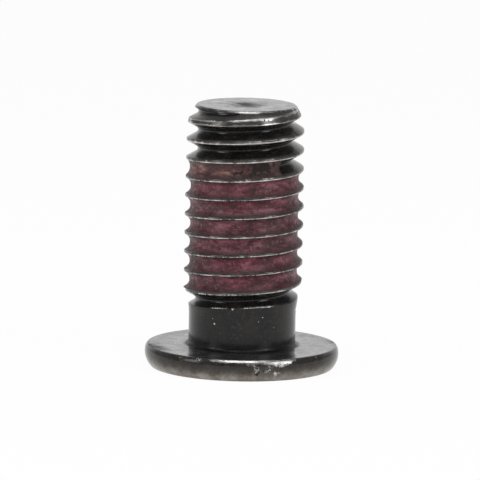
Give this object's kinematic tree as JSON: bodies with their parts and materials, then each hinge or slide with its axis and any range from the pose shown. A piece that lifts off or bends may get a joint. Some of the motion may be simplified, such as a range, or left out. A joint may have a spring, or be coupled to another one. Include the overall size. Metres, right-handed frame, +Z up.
{
  "type": "clutch disc bolt",
  "caption": "Black steel machine bolt with a thin round flange head, a plain relieved shank and a coarse metric thread that carries a dried threadlocking patch.",
  "frame": {"origin": "centre of the head's flat underside, which the bolt stands on", "axes": "+Z up the bolt's axis from the head to the tip, +X to the picture's right, -Y towards the camera"},
  "size_m": [0.0128, 0.0128, 0.0175],
  "materials": {
    "blackened_steel": "semi-gloss black oxide, worn bright on the thread crests and edges",
    "dried_compound": "dull mauve dried threadlocking compound, blotched and pitted"
  },
  "bodies": {
    "root": {"bolt": "blackened_steel", "threadlock_patch": "dried_compound"}
  },
  "joints": []
}
